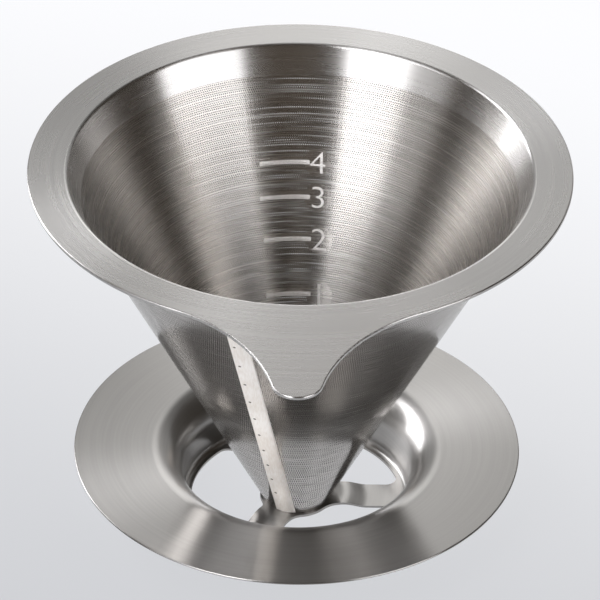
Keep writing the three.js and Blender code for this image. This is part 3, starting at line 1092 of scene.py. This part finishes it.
def make_seam():
    low = (MESH_BOTTOM + SEAM_MARGIN - CONE_APEX) / math.cos(CONE_TURN)
    high = (MESH_TOP - SEAM_MARGIN - CONE_APEX) / math.cos(CONE_TURN)
    turns = np.linspace(0, math.pi / 2, SEAM_CORNER_POINTS)
    corner = [(SEAM_HALF - SEAM_ROUND * (1 - math.cos(t)),
               SEAM_RISE - SEAM_ROUND * (1 - math.sin(t))) for t in turns]
    flat_end = SEAM_HALF - SEAM_ROUND
    flat_top = [(w, SEAM_RISE) for w in np.linspace(flat_end, -flat_end, SEAM_TOP_POINTS)[1:-1]]
    other = [(-w, h) for w, h in corner[::-1]]
    section = [(SEAM_HALF, -SEAM_BURY), *corner, *flat_top, *other, (-SEAM_HALF, -SEAM_BURY)]
    places = []
    for along in np.linspace(low, high, SEAM_STEPS + 1):
        places += [tuple(wrap_on_cone(along, w, h, SEAM_TURN, 0.0)) for w, h in section]
    steps = len(section)
    faces = []
    for row in range(0, SEAM_STEPS * steps, steps):
        for j in range(steps):
            k = (j + 1) % steps
            faces.append((row + j, row + k, row + steps + k, row + steps + j))
    faces.append(tuple(range(steps))[::-1])
    faces.append(tuple(range(SEAM_STEPS * steps, (SEAM_STEPS + 1) * steps)))
    thing = add_mesh("seam_lap", places, faces)
    thing.data.shade_smooth()
    thing.data.set_sharp_from_angle(angle=SEAM_SHARP_FROM)
    print(f"seam_lap: {len(faces)} faces")
    return thing


seam_lap = make_seam()

# %% [markdown]
# The strip's steel is duller than the turned sheet: it keeps the fine scratches of rolling, which
# run up the strip, and stains. Its tint is paler than the steel's, partly as painted highlight. It
# is part metal and part grey film, and scatters most of its light.

# %% Seam lap's steel
LAP_METAL = 0.5
LAP_SCATTER = 0.6
LAP_SCRATCHES = (2600.0, 900.0, 60.0)  # for each metre, along x, y and z
LAP_STAIN_SCALE = 90.0
LAP_RELIEF = 0.006 * MM


def make_lap_steel():
    material, tree, shader = new_material("lap_steel", (0.9, 0.85, 0.79), 0.45)
    shader.inputs["Metallic"].default_value = LAP_METAL
    place = object_place(tree)
    lines = noise(tree, [axis * count for axis, count in zip(place, LAP_SCRATCHES)], detail=3.0)
    stain = noise(tree, place, scale=LAP_STAIN_SCALE, detail=3.0)
    feed(tree, shader.inputs["Roughness"], lines * 0.14 + stain * 0.12 + 0.36)
    shade = (lines * 0.5 + stain * 0.5).step(0.3, 0.7)
    # the pale end of this tint is raised partly as painted highlight
    tint = mixed(tree, shade, (0.84, 0.78, 0.71), (0.98, 0.95, 0.91))
    feed(tree, shader.inputs["Base Color"], tint)
    feed(tree, shader.inputs["Normal"], bump(tree, lines, LAP_RELIEF))
    shader.inputs["Anisotropic"].default_value = STRETCH
    shader.inputs["Anisotropic Rotation"].default_value = QUARTER_TURN
    scatter(tree, shader, LAP_SCATTER)
    return material


seam_lap.data.materials.append(make_lap_steel())
centre_texture_box(seam_lap)

# %% [markdown]
# ## Weld spots
# A row of small flat spots holds the lap. They repeat along a line, so geometry nodes set them: each
# point's place on the cone comes from its index, and one flattened ball stands on every point. The
# spacing grows a little towards the top.

# %% Weld spots by geometry nodes
SPOT_COUNT = 10
SPOT_FIRST = 29.0  # millimetres along the slant
SPOT_STEP = 7.3  # millimetres
SPOT_GROW = 0.13  # millimetres for each spot, squared
SPOT_R = 0.36 * MM
SPOT_FLAT = 0.2
SPOT_ACROSS = -1.3 * MM
SPOT_DIVISIONS = 4


def spot_tree(material):
    """Geometry nodes for a row of flat weld spots along the lap; its sizes are inputs."""
    tree = bpy.data.node_groups.new("weld_spots", "GeometryNodeTree")
    tree.interface.new_socket("Geometry", in_out="OUTPUT", socket_type="NodeSocketGeometry")
    tree.interface.new_socket("Count", in_out="INPUT", socket_type="NodeSocketInt")
    for name in ("First", "Step", "Growth", "Radius"):
        tree.interface.new_socket(name, in_out="INPUT", socket_type="NodeSocketFloat")
    given = tree.nodes.new("NodeGroupInput").outputs
    index = Wire(tree, tree.nodes.new("GeometryNodeInputIndex").outputs[0])
    along = index * given["Step"] + index * index * given["Growth"]
    along = (along + Wire(tree, given["First"])) * MM
    turn = SPOT_ACROSS / along / math.sin(CONE_TURN) + SEAM_TURN
    r = along * math.sin(CONE_TURN) + SEAM_RISE * math.cos(CONE_TURN)
    z = along * math.cos(CONE_TURN) + (CONE_APEX - SEAM_RISE * math.sin(CONE_TURN))
    place = add_node(tree, "ShaderNodeCombineXYZ", {}, {
        0: r * turn.math("COSINE"), 1: r * turn.math("SINE"), 2: z})
    facing = add_node(tree, "ShaderNodeCombineXYZ", {}, {
        0: turn.math("COSINE") * math.cos(CONE_TURN), 1: turn.math("SINE") * math.cos(CONE_TURN),
        2: -math.sin(CONE_TURN)})
    points = add_node(tree, "GeometryNodePoints", {}, {
        "Count": given["Count"], "Position": place.outputs[0]})
    aligned = add_node(tree, "FunctionNodeAlignRotationToVector", {"axis": "Z"}, {
        "Vector": facing.outputs[0]})
    ball = add_node(tree, "GeometryNodeMeshIcoSphere", {}, {
        "Radius": given["Radius"], "Subdivisions": SPOT_DIVISIONS})
    low = add_node(tree, "GeometryNodeTransform", {}, {
        "Geometry": ball.outputs[0], "Scale": (1, 1, SPOT_FLAT)})
    placed = add_node(tree, "GeometryNodeInstanceOnPoints", {}, {
        "Points": points.outputs[0], "Instance": low.outputs[0], "Rotation": aligned.outputs[0]})
    real = add_node(tree, "GeometryNodeRealizeInstances", {}, {0: placed.outputs[0]})
    smooth = add_node(tree, "GeometryNodeSetShadeSmooth", {}, {0: real.outputs[0]})
    painted = add_node(tree, "GeometryNodeSetMaterial", {}, {
        0: smooth.outputs[0], "Material": material})
    tree.links.new(painted.outputs[0], tree.nodes.new("NodeGroupOutput").inputs[0])
    return tree


def speckled_metal(name, dark, light, fineness, rough, rough_spread, relief):
    """A metal with one even speckle in its tint, its roughness and its relief."""
    material, tree, shader = new_material(name, dark, rough)
    speckle = noise(tree, object_place(tree), scale=fineness, detail=3.0)
    feed(tree, shader.inputs["Base Color"], mixed(tree, speckle.step(0.3, 0.7), dark, light))
    feed(tree, shader.inputs["Roughness"], speckle * rough_spread + rough)
    feed(tree, shader.inputs["Normal"], bump(tree, speckle, relief))
    return material


weld_tint = speckled_metal("weld_tint", (0.12, 0.095, 0.08), (0.3, 0.26, 0.22), 1400.0,
                           0.3, 0.3, 0.02 * MM)
weld_spots = grown("weld_spots", spot_tree(weld_tint), {
    "Count": SPOT_COUNT, "First": SPOT_FIRST, "Step": SPOT_STEP,
    "Growth": SPOT_GROW, "Radius": SPOT_R})

# %% [markdown]
# ## Bars and numbers
# The scale is etched: a matt, pale surface that stands out against the shine. Each bar is a flat
# outline with cut corners, and each number comes from the built-in typeface. Both start as flat
# solids. They are cut finely, because only then can a flat shape follow the round wall.

# %% Bars and numbers
MARK_SHEET = 0.05 * MM
MARK_LIFT = 0.03 * MM
MARK_EDGE = 0.8 * MM  # no edge of a wrapped mark stays longer than this
MARK_CUTS = 4
MARK_MERGE = 0.0005 * MM


def wrap_marks(name, mesh, slant):
    """Cut a flat mesh finely and wrap it on the far side of the cone's inner face."""
    shape = bmesh.new()
    shape.from_mesh(mesh)
    bmesh.ops.remove_doubles(shape, verts=shape.verts, dist=MARK_MERGE)
    bmesh.ops.triangulate(shape, faces=shape.faces)
    for _ in range(MARK_CUTS):
        long_edges = [edge for edge in shape.edges if edge.calc_length() > MARK_EDGE]
        if long_edges:
            bmesh.ops.subdivide_edges(shape, edges=long_edges, cuts=1)
    for vert in shape.verts:
        x, up, lift = vert.co
        along = slant * MM + up
        r = along * math.sin(CONE_TURN) - FACE_INSET * math.cos(CONE_TURN)
        turn = math.pi / 2 - math.asin(x / r)
        vert.co = wrap_on_cone(along, 0.0, lift + MARK_LIFT, turn, FACE_INSET, facing=-1)
    bmesh.ops.recalc_face_normals(shape, faces=shape.faces)
    wrapped = bpy.data.meshes.new(name)
    shape.to_mesh(wrapped)
    shape.free()
    print(f"{name}: {len(wrapped.polygons)} faces")
    return add_object(name, wrapped)


BAR_CUT = 0.15 * MM


def flat_bar(left, right):
    """A bar with cut corners, as a flat solid."""
    half, cut = BAR_THICK / 2 * MM, BAR_CUT
    left, right = left * MM, right * MM
    edge = [(left + cut, -half), (right - cut, -half), (right, cut - half), (right, half - cut),
            (right - cut, half), (left + cut, half), (left, half - cut), (left, cut - half)]
    count = len(edge)
    places = [(x, y, z) for z in (0, MARK_SHEET) for x, y in edge]
    faces = [tuple(range(count))[::-1], tuple(range(count, 2 * count))]
    faces += [(i, (i + 1) % count, count + (i + 1) % count, count + i) for i in range(count)]
    mesh = bpy.data.meshes.new("flat_bar")
    mesh.from_pydata(places, [], faces)
    return mesh


DIGIT_OFFSET = -0.012  # thins the strokes; in units of the typeface's height, like the next one
DIGIT_DEPTH = 0.02
DIGIT_CURVE_STEPS = 6


def flat_digit(text, middle):
    """A number from the built-in typeface, as a flat solid of the right height."""
    curve = bpy.data.curves.new("digit", "FONT")
    curve.body = text
    curve.offset = DIGIT_OFFSET
    curve.extrude = DIGIT_DEPTH
    curve.resolution_u = DIGIT_CURVE_STEPS
    holder = add_object("digit", curve)
    made = holder.evaluated_get(bpy.context.evaluated_depsgraph_get())
    mesh = bpy.data.meshes.new_from_object(made)
    bpy.data.objects.remove(holder)
    places = np.array([tuple(vertex.co) for vertex in mesh.vertices])
    low, high = places.min(axis=0), places.max(axis=0)
    size = DIGIT_TALL * MM / (high[1] - low[1])
    wide = DIGIT_SPREAD * size
    centre = (low + high) / 2
    for vertex in mesh.vertices:
        x, y, z = vertex.co
        vertex.co = ((x - centre[0]) * wide + middle * MM, (y - centre[1]) * size,
                     MARK_SHEET * (z - low[2]) / (high[2] - low[2]))
    return mesh


etched = speckled_metal("etched_marks", (0.68, 0.66, 0.63), (0.88, 0.86, 0.84), 4000.0,
                        0.45, 0.2, 0.01 * MM)
bars, digits = [], []
for i, slant in enumerate(bar_slants):
    text = str(i + 1)
    bars.append(wrap_marks("bar_" + text, flat_bar(BAR_LEFT[i], BAR_RIGHT[i]), slant))
    digits.append(wrap_marks("number_" + text, flat_digit(text, DIGIT_MIDDLE[i]), slant))
for mark in bars + digits:
    mark.data.materials.append(etched)

# %% [markdown]
# ## Riding and replacing
# Nothing on the dripper moves, so every visible piece rides the one rigid body. Each stands for its
# measured node, which is hidden. The lap and the weld spots belong to the outer mesh, and the scale
# belongs to the inner one.

owners = {
    "rim_collar": ("collar_steel", [collar]),
    "outer_mesh_cone": ("support_mesh", [outer_cone, seam_lap, weld_spots]),
    "inner_filter_cone": ("fine_mesh", [inner_cone, *bars, *digits]),
    "tip_cup": ("cup_steel", [tip_cup]),
    "base_saucer": ("saucer_steel", [saucer]),
}
for node, (finish, things) in owners.items():
    for thing in things:
        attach(thing, "root")
        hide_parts(node)
    print(node, "is shown by", len(things))

# %% [markdown]
# ## Studio
# The dripper stands on a pale sheet, and a bright card stands behind it, out of sight, for the steel
# to mirror. Both are plain squares whose own glow runs between two colours. The floor's glow keeps
# the contact shadow pale, as a light table does.

# %% Floor
FLOOR_HALF = 1.5


def glowing_sheet(name, places, paint_name, tint, roughness, fade, dim, bright):
    """A square of the stage; fade gives the glow's place between dim and bright from x, y and z."""
    thing = add_mesh(name, places, [(0, 1, 2, 3)])
    paint, tree, shader = new_material(paint_name, tint, roughness)
    shader.inputs["Metallic"].default_value = 0.0
    shader.inputs["Emission Strength"].default_value = 1.0
    feed(tree, shader.inputs["Emission Color"], mixed(tree, fade(*object_place(tree)), dim, bright))
    thing.data.materials.append(paint)
    return shader


def floor_fade(x, y, z):
    """Brighter towards the back and a little towards the right."""
    return (y + x * 0.35).step(-0.12, 0.26)


square = [(-1, -1), (1, -1), (1, 1), (-1, 1)]
floor_shader = glowing_sheet(
    "floor", [(FLOOR_HALF * x, FLOOR_HALF * y, 0.0) for x, y in square],
    "floor_paint", (0.05, 0.05, 0.051), 0.7, floor_fade, (0.56, 0.57, 0.595), (0.93, 0.935, 0.955))
floor_shader.inputs["Specular IOR Level"].default_value = 0.0
print(f"the floor is {2 * FLOOR_HALF:.0f} m wide")

# %% [markdown]
# The card is what the flat flange, the tab and the saucer's rim mirror towards the camera. It is
# bright only in its middle and fades upwards, so its reflection ends softly.

# %% Card behind
CARD_AWAY = 0.45
CARD_HALF = 0.34
CARD_LOW = 0.12
CARD_HIGH = 0.68
CARD_BRIGHT_X = 0.012


def card_fade(x, y, z):
    """Full in a strip round the middle and low down; a faint rest towards the sides."""
    beside = (x - CARD_BRIGHT_X).magnitude().step(0.12, 0.03)
    return z.step(0.54, 0.28) * (beside * 0.86 + 0.14)


card_corners = [(CARD_HALF * x, CARD_AWAY, CARD_HIGH if up > 0 else CARD_LOW) for x, up in square]
glowing_sheet("card", card_corners, "card_glow", (0.05, 0.05, 0.05), 0.8, card_fade,
              (0.1, 0.098, 0.095), (2.1, 2.1, 2.1))
print(f"the card stands {CARD_AWAY / MM:.0f} mm behind the axis")

# %% [markdown]
# ## Light
# Steel shows little but what it mirrors, so the light is drawn as surroundings: a dim, warm room
# with soft panels in it. A panel is a patch of the sky between two heights, round one direction.
# Lamps could light the dripper too, but a panel's edge fades as slowly as the fans on turned steel.

# %% Light
world = bpy.data.worlds.new("studio")
bpy.context.scene.world = world
world.use_nodes = True
sky = world.node_tree
direction = add_node(sky, "ShaderNodeSeparateXYZ", {}, {
    0: add_node(sky, "ShaderNodeTexCoord").outputs["Generated"]})
away_x, away_y, away_z = (Wire(sky, output) for output in direction.outputs)
sky_turn = away_y.math("ARCTAN2", away_x) / (2 * math.pi)
sky_height = away_z.math("ARCSINE") * math.degrees(1)
SOFT = 3.0  # degrees over which a panel's side fades
SOFT_UP = 6.0  # and its top and foot


def panel(direction, half_width, low, high, strength, soft=SOFT):
    """A soft box in the surroundings; angles in degrees, directions from +X towards +Y."""
    aside = ((sky_turn - (direction / 360 - 1.5)).fraction() - 0.5).magnitude() * 360
    wide = aside.step(half_width + soft, half_width - soft)
    above = sky_height.step(low - SOFT_UP, low + SOFT_UP)
    below = sky_height.step(high + SOFT_UP, high - SOFT_UP)
    return wide * (above * below) * strength


panels = {
    "key, left of the camera": panel(231, 16, 18, 64, 6.6, soft=3),
    "key's weaker side": panel(203, 12, 20, 60, 2.4, soft=5),
    "fill, right of the camera": panel(320, 21, 2, 44, 3.1, soft=1.5),
    "top right": panel(342, 20, 46, 68, 1.0, soft=10),
    "low light behind": panel(90, 12, -5, 14, 2.6, soft=5),
    "strip behind left": panel(142, 13, 0, 50, 6.5),
    "strip behind right": panel(60, 5, -5, 40, 0.6),
    "overhead behind": panel(92, 12, 50, 72, 1.2, soft=6),
    "dim front": panel(275, 18, 5, 50, 0.08, soft=10),
}
glow = sum(panels.values())
SURROUND = 0.05
WARM_BELOW = 1.2
WARM, NEUTRAL = (1.0, 0.8, 0.62), (1.0, 1.0, 1.03)
backdrop = sky.nodes["Background"]
feed(sky, backdrop.inputs["Color"], mixed(sky, glow.step(0.0, WARM_BELOW), WARM, NEUTRAL))
feed(sky, backdrop.inputs["Strength"], glow + SURROUND)
print(f"{len(panels)} panels light the studio")
